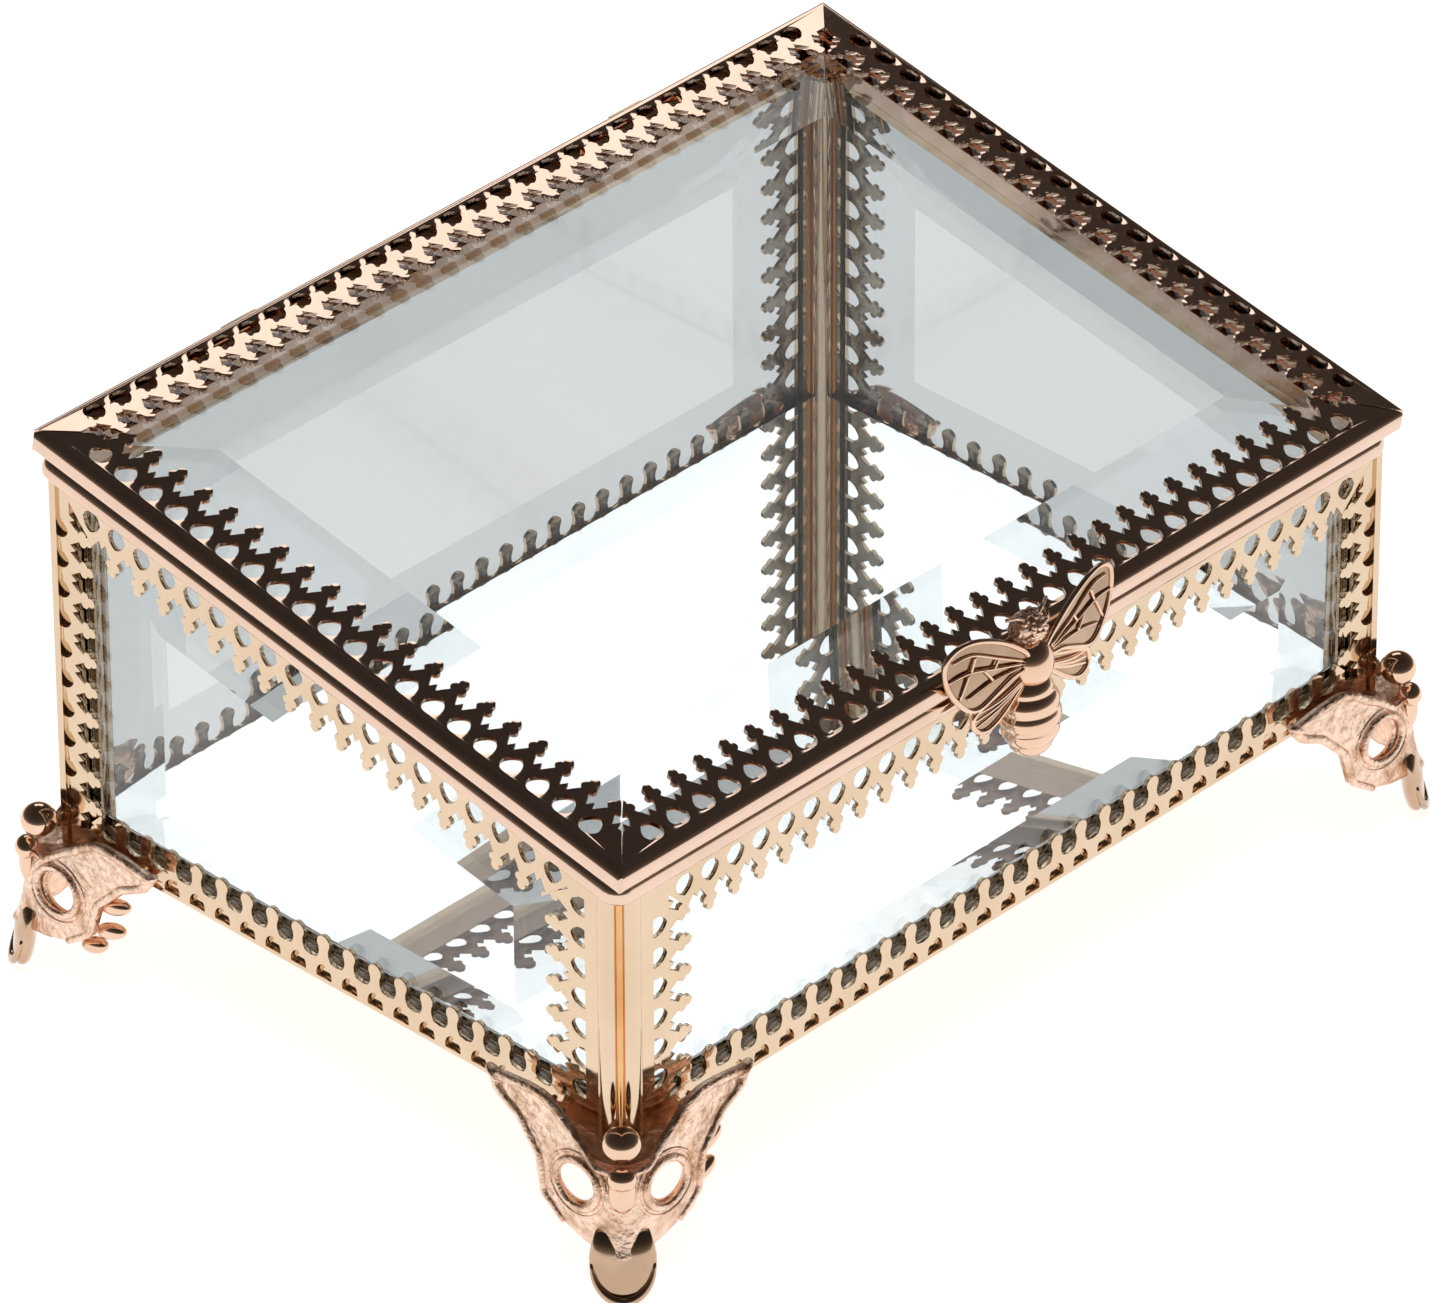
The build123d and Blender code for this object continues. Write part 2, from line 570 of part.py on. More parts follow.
# ---------------------------------------------------------------- bee lift
BEE_LEAN = 3.0              # the bee's tail hangs this much further out than its head
BEE_Z = FOOT_H + 41.5
BEE_BACK = 1.2              # flat back behind the bee's middle plane
BEE_Y = -(HALF_D + LID_OVER_Y + BEE_BACK + 0.75)
lean = math.radians(BEE_LEAN)
bee_plane = Plane(origin=(0, BEE_Y, BEE_Z), x_dir=(1, 0, 0),
                  z_dir=(0, -math.cos(lean), math.sin(lean)))

nose_plane = Plane(origin=lid_height(1.6).from_local_coords(Vector(0, -LID_HALF_V - TOUCH, 0)),
                   x_dir=(1, 0, 0), z_dir=(0, -COS_T, -SIN_T))


def add_ellipsoid(x, y, half_width, half_height, depth):
    """Half-width, half-height and depth of a rounded lump on the bee's middle plane."""
    lump = scale(Sphere(1, mode=Mode.PRIVATE), by=(half_width, half_height, depth), mode=Mode.PRIVATE)
    add(bee_plane * Pos(x, y, 0) * lump)


def add_wing(side, root, tip, half_chord, thickness):
    """Flat oval wing from its root to its tip."""
    span = Vector(side * (tip[0] - root[0]), tip[1] - root[1])
    angle = math.degrees(math.atan2(span.Y, span.X))
    middle = (side * (root[0] + tip[0]) / 2, (root[1] + tip[1]) / 2)
    with BuildSketch(bee_plane.offset(-BEE_BACK + 0.2)) as oval:
        with Locations(Location(middle + (0,), (0, 0, angle))):
            Ellipse(span.length / 2, half_chord)
    extrude(oval.sketch, amount=thickness)


with BuildPart() as bee:
    add_ellipsoid(0, 6.1, 2.5, 2.3, 2.9)
    add_ellipsoid(0, 0.6, 3.3, 4.0, 3.6)
    add_ellipsoid(0, -7.6, 4.1, 6.6, 3.7)
    for wing_side in (-1, 1):
        add_wing(wing_side, (1.0, 0.5), (17.4, 7.2), 3.9, 1.3)
        add_wing(wing_side, (1.0, 0.0), (11.6, -4.2), 2.0, 1.3)
    split(bisect_by=bee_plane.offset(-BEE_BACK), keep=Keep.TOP)
    with BuildSketch(nose_plane):
        Rectangle(6.0, 1.1)
    extrude(amount=1.6)
bee.part.label = "bee_lift"

# ---------------------------------------------------------------- feet


def chevron(out, reach, flare, thick):
    """Bent-leaf section in plan: both arms and the rounded corner between them."""
    return [(reach, -flare), (2.5, -out), (-out * 0.45, -out * 0.85), (-out * 0.85, -out * 0.45),
            (-out, 2.5), (-flare, reach), (-flare + thick, reach), (-out + thick, 3.2 - thick * 0.2),
            (-out + thick + 0.5, -out + thick + 0.5), (3.2 - thick * 0.2, -out + thick),
            (reach, -flare + thick)]


def corner_plane(height):
    """Plan sketch with its origin at the front left corner, height above the underside."""
    return Plane(origin=(-HALF_W, -HALF_D, FOOT_H + height), x_dir=(1, 0, 0), z_dir=(0, 0, 1))


with BuildPart() as foot:
    # leaf-shaped skirt that wraps the corner and narrows down to the ankle
    for level, out, reach, flare in ((3.6, 2.4, 19.6, 2.1), (-1.5, 4.6, 13.8, 4.2),
                                     (-6.5, 5.6, 8.6, 5.2), (-11.5, 6.0, 4.4, 5.6)):
        with BuildSketch(corner_plane(level)):
            with BuildLine():
                Polyline(*chevron(out, reach, flare, 1.7), close=True)
            make_face()
    loft(ruled=True)
    # ankle and toe along the diagonal
    for level, slide, long_r, wide_r in ((-9.0, -1.3, 2.6, 4.2), (-13.0, -2.4, 2.4, 4.4),
                                         (-17.0, -4.3, 2.1, 4.5), (-FOOT_H, -5.2, 1.9, 3.9)):
        with BuildSketch(corner_plane(level)):
            with Locations(Location((slide, slide, 0), (0, 0, 45))):
                Ellipse(long_r, wide_r)
    loft()
    # seat plate under the box corner
    with BuildSketch(corner_plane(-1.5)):
        with BuildLine():
            Polyline((-3.6, -3.6), (15, -3.6), (15, 2), (2, 15), (-3.6, 15), close=True)
        make_face()
    extrude(amount=1.5 - TOUCH)
    # oval window in each half of the skirt
    for sideways in (Plane.XZ, Plane.YZ):
        origin = (-HALF_W + 4.6, -HALF_D, FOOT_H - 5.4)
        if sideways is Plane.YZ:
            origin = (-HALF_W, -HALF_D + 4.6, FOOT_H - 5.4)
        with BuildSketch(Plane(origin=origin, x_dir=sideways.x_dir, z_dir=sideways.z_dir)):
            Ellipse(1.9, 2.5)
        extrude(amount=9, both=True, mode=Mode.SUBTRACT)
    # ball above the skirt
    with Locations((-HALF_W - 2.2, -HALF_D - 2.2, FOOT_H + 2.6)):
        Sphere(2.5)
    # everything stays clear of the walls and the bottom rails
    with BuildSketch(corner_plane(-TOUCH)):
        Rectangle(60, 60, align=(Align.MIN, Align.MIN))
    extrude(amount=20, mode=Mode.SUBTRACT)
    split(bisect_by=Plane.XY, keep=Keep.TOP)

# ---------------------------------------------------------------- assembly
pieces = [body_rim.part, base_tray.part, base_mirror.part, lid_glass.part, bee.part]
for wall in WALLS:
    pieces.append(build_stile(wall, False, wall.name + "_stile_start"))
    pieces.append(build_stile(wall, True, wall.name + "_stile_end"))
    pieces.append(build_bottom_rail(wall))
    pieces.append(build_top_rail(wall))
    pieces.append(build_wall_glass(wall))
for number, lid_name in enumerate(("front", "right", "back", "left")):
    pieces.append(build_lid_rail(number, "lid_" + lid_name + "_rail"))
for hinge_side, hinge_x in HINGES.items():
    pieces.append(build_body_leaf(hinge_side, hinge_x))
    pieces.append(build_lid_leaf(hinge_side, hinge_x))
    pieces.append(build_pin(hinge_side, hinge_x))
for corner_name, (sx, sy) in CORNERS.items():
    if corner_name in TUBED_CORNERS:
        pieces.append(build_upright("corner_seam_" + corner_name, sx, sy, SEAM_IN, SEAM_R, FOOT_H))
    pieces.append(build_upright("corner_rod_" + corner_name, sx, sy, ROD_IN, ROD_R,
                                FOOT_H + FLOOR_Z + TOUCH))
    placed_foot = foot.part if sy < 0 else foot.part.rotate(Axis.Z, 180)
    if sx * sy < 0:
        placed_foot = mirror(placed_foot, about=Plane.YZ)
    placed_foot.label = "foot_" + corner_name
    pieces.append(placed_foot)

os.makedirs("parts", exist_ok=True)
for piece in pieces:
    export_step(piece, "parts/" + piece.label + ".step")
    print(piece.label, len(piece.solids()), round(piece.volume, 1), piece.is_valid)
print("hinge axis y, z:", round(AXIS_Y, 3), round(AXIS_Z, 3))
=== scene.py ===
"""Looks of the vanity trinket box: bevelled glass in pierced rose-gold frames, a mirror
floor, a bee on the lid's front edge and four cast feet.  The frame is in metres; cast
pieces are shaped in millimetres and then placed in it."""
import math
import random

import bmesh
import bpy
from mathutils import Matrix, Vector

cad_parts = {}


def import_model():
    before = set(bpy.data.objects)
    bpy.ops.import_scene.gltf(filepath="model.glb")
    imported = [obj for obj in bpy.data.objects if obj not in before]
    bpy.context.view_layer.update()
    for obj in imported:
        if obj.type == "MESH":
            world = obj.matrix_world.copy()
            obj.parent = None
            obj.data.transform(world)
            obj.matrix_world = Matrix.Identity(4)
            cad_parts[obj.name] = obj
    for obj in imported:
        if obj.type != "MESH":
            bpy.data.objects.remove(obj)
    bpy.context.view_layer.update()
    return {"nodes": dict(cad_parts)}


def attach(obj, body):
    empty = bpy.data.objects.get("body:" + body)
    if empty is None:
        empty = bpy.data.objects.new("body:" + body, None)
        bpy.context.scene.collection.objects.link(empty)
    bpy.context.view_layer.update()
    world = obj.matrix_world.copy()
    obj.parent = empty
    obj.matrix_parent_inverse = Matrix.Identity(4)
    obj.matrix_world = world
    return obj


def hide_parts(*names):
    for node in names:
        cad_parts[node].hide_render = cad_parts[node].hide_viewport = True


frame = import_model()
NODES = frame["nodes"]
MM = 0.001


def shares(steps):
    """Evenly spaced values from 0 to 1."""
    return [k / steps for k in range(steps + 1)]


def circle(steps):
    """Angles once round, without the last that would repeat the first."""
    return [math.tau * k / steps for k in range(steps)]


# ------------------------------------------------------------------ material helpers
def fill_ramp(ramp, stops):
    """Give a colour ramp its (position, colour) stops."""
    elements = ramp.color_ramp.elements
    while len(elements) < len(stops):
        elements.new(0.5)
    for element, (position, colour) in zip(elements, stops):
        element.position = position
        element.color = (*colour, 1.0)


class Shader:
    """A node material with one Principled shader and short ways to add nodes."""

    def __init__(self, name):
        self.material = bpy.data.materials.new(name)
        self.material.use_nodes = True
        self.tree = self.material.node_tree
        self.principled = self.tree.nodes["Principled BSDF"]

    def node(self, kind):
        return self.tree.nodes.new(kind)

    def set(self, **values):
        """Plain numbers on the shader's own sockets."""
        for key, value in values.items():
            socket = key.replace("_", " ").title().replace("Ior", "IOR")
            self.principled.inputs[socket].default_value = value

    def link(self, source, target):
        self.tree.links.new(source, target)

    def feed(self, socket, source):
        self.link(source, self.principled.inputs[socket])

    def noise(self, scale, detail=3.0, roughness=0.5, distortion=0.0):
        """Noise in object coordinates, which are metres in the frame's own axes."""
        noise = self.node("ShaderNodeTexNoise")
        noise.inputs["Scale"].default_value = scale
        noise.inputs["Detail"].default_value = detail
        noise.inputs["Roughness"].default_value = roughness
        noise.inputs["Distortion"].default_value = distortion
        self.link(self.node("ShaderNodeTexCoord").outputs["Object"], noise.inputs["Vector"])
        return noise.outputs["Fac"]

    def ramp(self, source, stops):
        ramp = self.node("ShaderNodeValToRGB")
        fill_ramp(ramp, stops)
        self.link(source, ramp.inputs["Fac"])
        return ramp.outputs["Color"]

    def span(self, source, low, high):
        """Source from 0..1 to low..high."""
        spread = self.node("ShaderNodeMapRange")
        spread.inputs["To Min"].default_value = low
        spread.inputs["To Max"].default_value = high
        self.link(source, spread.inputs["Value"])
        return spread.outputs["Result"]

    def bump(self, height, strength, distance):
        bump = self.node("ShaderNodeBump")
        bump.inputs["Strength"].default_value = strength
        bump.inputs["Distance"].default_value = distance
        self.link(height, bump.inputs["Height"])
        self.feed("Normal", bump.outputs["Normal"])


# ------------------------------------------------------------------ materials
def plated_metal(name, tint, shade, rough, grain):
    """Polished plating: cloudy tint, uneven gloss and very fine ripples."""
    cloud_scale, gloss_scale, ripple_scale, ripple_depth = 90.0, 420.0, 160.0, 0.0002
    made = Shader(name)
    made.set(metallic=1.0)
    cloud = made.noise(cloud_scale, detail=4.0)
    made.feed("Base Color", made.ramp(cloud, [(0.35, shade), (0.65, tint)]))
    made.feed("Roughness", made.span(made.noise(gloss_scale, detail=2.0), *rough))
    made.bump(made.noise(ripple_scale, detail=3.0), grain, ripple_depth)
    return made.material


def chased_metal():
    """Cast rose gold with punched dots and short ribs in its surface."""
    hollow, crest = (0.60, 0.36, 0.22), (0.93, 0.68, 0.53)
    cloud_scale, gloss_scale, punch_scale, punch_depth = 300.0, 600.0, 900.0, 0.0004
    made = Shader("rose_gold_chased")
    made.set(metallic=1.0)
    cloud = made.noise(cloud_scale, detail=4.0)
    made.feed("Base Color", made.ramp(cloud, [(0.30, hollow), (0.52, crest)]))
    made.feed("Roughness", made.span(made.noise(gloss_scale, detail=2.0), 0.10, 0.26))
    punched = made.noise(punch_scale, detail=4.0, roughness=0.62, distortion=1.2)
    made.bump(punched, 0.75, punch_depth)
    return made.material


def glass(name, tint):
    """Clear plate glass with a faint tint that drifts; the darker tint given for the pane bevels is painted
    shade.
    """
    drift, cloud_scale = 1.01, 14.0
    made = Shader(name)
    made.set(transmission_weight=1.0, ior=1.5, roughness=0.0)
    faint = tuple(min(1.0, value * drift) for value in tint)
    cloud = made.noise(cloud_scale, detail=1.0)
    made.feed("Base Color", made.ramp(cloud, [(0.3, tint), (0.7, faint)]))
    return made.material


def mirror():
    """Silvered floor mirror with a trace of haze."""
    dull, bright = (0.93, 0.94, 0.935), (0.95, 0.955, 0.95)
    cloud_scale, haze_scale, haze = 30.0, 60.0, 0.012
    made = Shader("mirror_silver")
    made.set(metallic=1.0)
    cloud = made.noise(cloud_scale, detail=3.0)
    made.feed("Base Color", made.ramp(cloud, [(0.4, dull), (0.6, bright)]))
    made.feed("Roughness", made.span(made.noise(haze_scale), 0.0, haze))
    return made.material


def board():
    """Painted backing board with a faint roller texture."""
    dark, light = (0.36, 0.22, 0.14), (0.44, 0.28, 0.18)
    cloud_scale, roller_scale, roller_depth = 260.0, 1400.0, 0.0001
    made = Shader("backing_board")
    cloud = made.noise(cloud_scale, detail=5.0)
    made.feed("Base Color", made.ramp(cloud, [(0.35, dark), (0.65, light)]))
    made.feed("Roughness", made.span(cloud, 0.42, 0.6))
    made.bump(made.noise(roller_scale), 0.4, roller_depth)
    return made.material


FRAME_METAL = plated_metal("rose_gold_frame", (0.74, 0.57, 0.41), (0.69, 0.52, 0.36), (0.05, 0.11), 0.05)
RIM_METAL = plated_metal("rose_gold_rim", (0.79, 0.58, 0.46), (0.74, 0.53, 0.41), (0.04, 0.09), 0.05)
CAST_METAL = plated_metal("rose_gold_cast", (0.84, 0.60, 0.45), (0.76, 0.51, 0.36), (0.06, 0.15), 0.15)
# Wing membranes: a darker copy of the cast rose gold, painted shade standing in for the dark reflections on
# them
SHADED_WING_METAL = plated_metal("wing_membrane_painted_shade", (0.52, 0.36, 0.25), (0.36, 0.24, 0.16), (0.08, 0.22), 0.4)
# Toe: a darker copy of the cast rose gold, painted shade standing in for the dark reflection on its upper
# face
SHADED_TOE_METAL = plated_metal("rose_gold_toe_painted_shade", (0.66, 0.47, 0.33), (0.50, 0.34, 0.23), (0.06, 0.20), 0.3)
HINGE_METAL = plated_metal("hinge_brass", (0.86, 0.62, 0.38), (0.78, 0.54, 0.31), (0.10, 0.22), 0.10)
CHASED_METAL = chased_metal()
SOLDER = plated_metal("solder_seam", (0.80, 0.47, 0.22), (0.68, 0.33, 0.12), (0.12, 0.30), 0.35)
CLEAR_GLASS = glass("clear_glass", (0.800, 0.820, 0.828))
# Pane bevels: a darker copy of the clear glass, painted shade standing in for the grey their refraction
# shows
SHADED_BEVEL_GLASS = glass("bevel_glass_painted_shade", (0.56, 0.59, 0.60))
MIRROR = mirror()
BOARD = board()

# ------------------------------------------------------------------ pieces kept from the CAD model
MATERIALS = {"glass": CLEAR_GLASS, "rail": FRAME_METAL, "stile": FRAME_METAL, "rim": RIM_METAL,
             "lid_rail": RIM_METAL, "bee": CAST_METAL, "foot": CAST_METAL, "leaf": HINGE_METAL,
             "pin": HINGE_METAL, "rod": FRAME_METAL, "seam": SOLDER, "tray": BOARD, "mirror": MIRROR}
EDGE_WIDTH = {"glass": 0.10, "mirror": 0.3, "tray": 0.3, "rim": 0.08, "seam": 0.0, "pin": 0.15}
PLAIN_EDGE_WIDTH = 0.09     # softened edge of every other kind, in millimetres
SHARP_EDGE = math.radians(40)
WELD_GAP = 2e-6
FLAT_FACE_WEIGHT = 60
BEVEL_LEAN = (0.9, 0.9995)  # cosines against the flat of a pane between which a face is its bevel


def kind_of(name):
    if name.startswith("lid_") and name.endswith("_rail"):
        return "lid_rail"
    return next(kind for kind in MATERIALS if kind in name and kind != "lid_rail")


def soften(node, width):
    """Weld the faces together and round the sharp edges between them."""
    weld = node.modifiers.new("weld", "WELD")
    weld.merge_threshold = WELD_GAP
    if width:
        bevel = node.modifiers.new("edges", "BEVEL")
        bevel.width = width * MM
        bevel.segments = 2
        bevel.limit_method = "ANGLE"
        bevel.angle_limit = SHARP_EDGE
        bevel.use_clamp_overlap = True


def finish_pane(node):
    """Flat-shaded glass whose bevels get a darker copy of the glass, painted shade standing in for the grey
    that refraction gives them.
    """
    node.visible_shadow = False
    node.data.materials.append(SHADED_BEVEL_GLASS)
    flat = max(node.data.polygons, key=lambda polygon: polygon.area).normal.copy()
    least, most = BEVEL_LEAN
    for polygon in node.data.polygons:
        polygon.use_smooth = False
        leaning = abs(polygon.normal.dot(flat))
        # Bevel faces take the darker painted-shade glass
        polygon.material_index = 1 if least < leaning < most else 0


def finish_cad_node(name, node):
    """Material, softened edges and even shading on a node that is kept."""
    kind = kind_of(name)
    node.data.materials.clear()
    node.data.materials.append(MATERIALS[kind])
    soften(node, EDGE_WIDTH.get(kind, PLAIN_EDGE_WIDTH))
    if kind == "glass":
        finish_pane(node)
        return
    for polygon in node.data.polygons:
        polygon.use_smooth = True
    shading = node.modifiers.new("shading", "WEIGHTED_NORMAL")
    shading.mode = "FACE_AREA"
    shading.weight = FLAT_FACE_WEIGHT


for node_name, node_object in NODES.items():
    finish_cad_node(node_name, node_object)


# ------------------------------------------------------------------ cast pieces
class Form:
    """Vertices and faces of one cast piece, in millimetres, in the piece's own axes."""

    def __init__(self):
        self.shell = bmesh.new()

    def skin(self, rings, capped=True):
        """Faces between successive closed rings of points; the ends may be capped."""
        rows = [[self.shell.verts.new(point) for point in ring] for ring in rings]
        count = len(rows[0])
        for lower, upper in zip(rows, rows[1:]):
            for k in range(count):
                after = (k + 1) % count
                self.shell.faces.new((lower[k], lower[after], upper[after], upper[k]))
        if capped:
            self.shell.faces.new(list(reversed(rows[0])))
            self.shell.faces.new(rows[-1])

    def tube(self, points, radius, sides=8, looped=False):
        """Round wire through the points; radius is a number or a function of 0..1 along it."""
        points = [Vector(point) for point in points]
        width = radius if callable(radius) else lambda share: radius
        side = Vector((0.31, 0.22, 0.93))       # any direction that no wire follows
        rings = []
        for k, point in enumerate(points):
            before = points[k - 1] if k or looped else point
            after = points[(k + 1) % len(points)] if looped or k + 1 < len(points) else point
            along = (after - before).normalized()
            side = (side - along * side.dot(along)).normalized()
            across = along.cross(side)
            r = width(k / (len(points) - 1))
            rings.append([point + r * (math.cos(a) * side + math.sin(a) * across) for a in circle(sides)])
        if looped:
            rings.append(rings[0])
        self.skin(rings, capped=not looped)

    def lump(self, centre, axes, rows=14, around=20, shape=None):
        """Ellipsoid on three half-axis vectors; shape(latitude) scales its girth."""
        centre, (first, second, third) = Vector(centre), [Vector(axis) for axis in axes]
        pole, reach = 0.02, 0.96                # the rings stop just short of both poles
        rings = []
        for row in range(rows + 1):
            latitude = math.pi * (pole + reach * row / rows)
            girth = shape(latitude) if shape else 1.0
            rings.append([centre - third * math.cos(latitude) + girth * math.sin(latitude) *
                          (first * math.cos(turn) + second * math.sin(turn)) for turn in circle(around)])
        self.skin(rings)

    def plate(self, outline, thickness, lift):
        """Two faces of a thin leaf in the piece's x and y; lift(x, y) bends them."""
        for height, flip in ((0.0, True), (thickness, False)):
            points = [self.shell.verts.new((x, y, lift(x, y) + height)) for x, y in outline]
            self.shell.faces.new(list(reversed(points)) if flip else points)

    def piece(self, name, metal, placement):
        """Mesh object in the frame's metres."""
        bmesh.ops.recalc_face_normals(self.shell, faces=self.shell.faces)
        self.shell.transform(placement @ Matrix.Scale(MM, 4))
        mesh = bpy.data.meshes.new(name)
        self.shell.to_mesh(mesh)
        self.shell.free()
        for polygon in mesh.polygons:
            polygon.use_smooth = True
        mesh.materials.append(metal)
        made = bpy.data.objects.new(name, mesh)
        bpy.context.scene.collection.objects.link(made)
        return made


# ------------------------------------------------------------------ feet
# A foot is shaped for the front-left corner.  Its origin is that corner of the box's underside;
# x and y run along the two walls, and negative values stand out from them.
CORNER_X, CORNER_Y, UNDERSIDE = 76.0, 53.4, 20.0
CORNERS = (("front_left", -1, -1), ("front_right", 1, -1), ("back_right", 1, 1), ("back_left", -1, 1))
DIAGONAL, ACROSS = Vector((-1, -1, 0)).normalized(), Vector((1, -1, 0)).normalized()

# The leaf, by height: how far its arms reach, and how far it stands off at their tips and at the corner.
REACH = [(6.0, 20.6), (4.0, 20.2), (2.5, 19.4), (0.5, 15.2), (-3.8, 10.9), (-9.0, 9.6),
         (-11.8, 5.6), (-13.0, 1.4)]
FLARE = [(6.0, 3.0), (4.0, 3.3), (0.5, 3.8), (-3.8, 4.4), (-9.0, 4.9), (-13.0, 5.2)]
OUT = [(6.0, 4.4), (4.0, 4.4), (0.5, 4.8), (-3.8, 5.6), (-9.0, 6.0), (-13.0, 6.2)]
CORNER_PULL = 3.4           # how closely the leaf follows the corner
SKIRT_LOW, SKIRT_T = -12.8, 1.3
SKIRT_COLUMNS, SKIRT_ROWS = 96, 44
SADDLE_Z, ARM_RISE, TIP_DROOP = -1.2, 6.6, 1.0
RISE_START, RISE_LENGTH, DROOP_START = 0.50, 0.36, 0.86

EYE_S, EYE_Z, EYE_W, EYE_H = 3.6, -4.7, 3.7, 3.2
EYE_SIDES, EYE_MARGIN = 28, 1.06
EYE_RIMS = ((1.06, 0.1, 0.62), (1.05, SKIRT_T - 0.1, 0.5), (1.42, 0.15, 0.28))  # size, depth, radius

SHELF_Z, SHELF_IN, SHELF_LOW, SHELF_T = -0.6, 0.6, -1.1, 1.0
SHELF_FAR, SHELF_NEAR = 13.0, 2.6
BEAD_TOP, BEAD_DROP, BEAD_IN = 4.3, 16.1, 0.3
RIM_LENGTH, RIM_IN = 0.72, 0.2
RIB_START, RIB_LENGTH, RIB_STEP, RIB_SINK, RIB_DROP, RIB_R = 0.97, 0.40, 0.06, 0.8, 0.3, 0.36
RIB_INSETS = (0.25, 0.5, 0.75)
ARM_TIP_Z, ARM_TIP_IN = 4.4, 0.2

LOBES = ((13.2, -3.8, 3.2), (12.2, -8.3, 3.0), (8.8, -12.2, 2.6))       # along the wall, height, half length
LOBE_OUT, LOBE_DEEP, LOBE_HIGH = 2.7, 1.3, 1.25
TOE_RINGS = ((-9.8, 4.4, 1.0, 3.6), (-11.5, 4.9, 1.4, 4.2), (-13.2, 5.4, 1.6, 4.5),
             (-15.0, 5.5, 1.6, 4.5), (-16.6, 5.7, 1.6, 4.3), (-17.9, 5.9, 1.5, 3.8),
             (-18.9, 6.0, 1.3, 3.0), (-19.6, 6.0, 0.9, 2.0), (-20.0, 6.0, 0.5, 1.0))  # z, out, deep, wide
TOE_SIDES = 36
LIP_WIDE, LIP_OUT, LIP_FORWARD, LIP_Z, LIP_DROP = 4.2, 5.9, 1.6, -14.2, 5.2


def between(value, stops):
    """Value read off straight lines through (position, result) stops, position falling."""
    for (high, first), (low, second) in zip(stops, stops[1:]):
        if value >= low:
            share = min(1.0, (high - value) / (high - low))
            return first + (second - first) * share
    return stops[-1][1]


def ease(value, start, length):
    """Share of a stretch that a value has covered, held at 0 before it and 1 after it."""
    return min(1.0, max(0.0, (value - start) / length))


def skirt_point(turn, z, inward=0.0):
    """Point of the leaf: turn -1..1 runs from the side arm over the corner to the front arm."""
    reach, flare, out = between(z, REACH), between(z, FLARE), between(z, OUT)
    share = (turn + 1) / 2
    start, middle, end = (1 - share) ** 2, 2 * share * (1 - share) * CORNER_PULL, share ** 2
    total = start + middle + end
    x = (start * -flare + middle * -out + end * reach) / total
    y = (start * reach + middle * -out + end * -flare) / total
    return Vector((x, y, z)) - DIAGONAL * inward


def skirt_top(turn):
    """Upper edge of the leaf: low over the corner, high along the arms, drooping at their tips."""
    rise = ease(abs(turn), RISE_START, RISE_LENGTH)
    droop = ease(abs(turn), DROOP_START, 1 - DROOP_START)
    return SADDLE_Z + ARM_RISE * rise * rise * (3 - 2 * rise) - TIP_DROOP * droop * droop


def skirt_spot(i, j):
    """Turn and height at a column and row of the leaf."""
    turn = -1 + 2 * i / SKIRT_COLUMNS
    top = skirt_top(turn)
    return turn, top + (SKIRT_LOW - top) * j / SKIRT_ROWS


def eye_turn(offset, z, side):
    """Turn at which the leaf is a given distance along its arm, found by halving."""
    low, high = 0.0, 1.0
    for _ in range(24):
        middle = (low + high) / 2
        if skirt_point(middle, z).x < offset:
            low = middle
        else:
            high = middle
    return side * low


def eye_loop(side, scale):
    """Closed line around the opening in one arm, as (turn, z) pairs."""
    pairs = []
    for a in circle(EYE_SIDES):
        z = EYE_Z + EYE_H * scale * math.sin(a)
        pairs.append((eye_turn(EYE_S + EYE_W * scale * math.cos(a), z, side), z))
    return pairs


def in_eye(turn, z):
    point = skirt_point(abs(turn), z)
    return math.hypot((point.x - EYE_S) / EYE_W, (z - EYE_Z) / EYE_H) < EYE_MARGIN


def add_leaf(form):
    """The leaf itself: an outer and an inner sheet, joined along every open edge."""
    shell = form.shell
    outer, inner = ([[shell.verts.new(skirt_point(*skirt_spot(i, j), inward)) for j in range(SKIRT_ROWS + 1)]
                     for i in range(SKIRT_COLUMNS + 1)] for inward in (0.0, SKIRT_T))
    for i in range(SKIRT_COLUMNS):
        for j in range(SKIRT_ROWS):
            (turn, z), (next_turn, next_z) = skirt_spot(i, j), skirt_spot(i + 1, j + 1)
            if not in_eye((turn + next_turn) / 2, (z + next_z) / 2):
                shell.faces.new((outer[i][j], outer[i + 1][j], outer[i + 1][j + 1], outer[i][j + 1]))
                shell.faces.new((inner[i][j + 1], inner[i + 1][j + 1], inner[i + 1][j], inner[i][j]))
    partner = {vertex: vertex_in for column, column_in in zip(outer, inner)
               for vertex, vertex_in in zip(column, column_in)}
    for edge in [edge for edge in shell.edges if len(edge.link_faces) == 1]:
        first, second = edge.verts
        if first in partner:
            shell.faces.new((first, second, partner[second], partner[first]))
    bmesh.ops.delete(shell, geom=[v for v in shell.verts if not v.link_faces], context="VERTS")


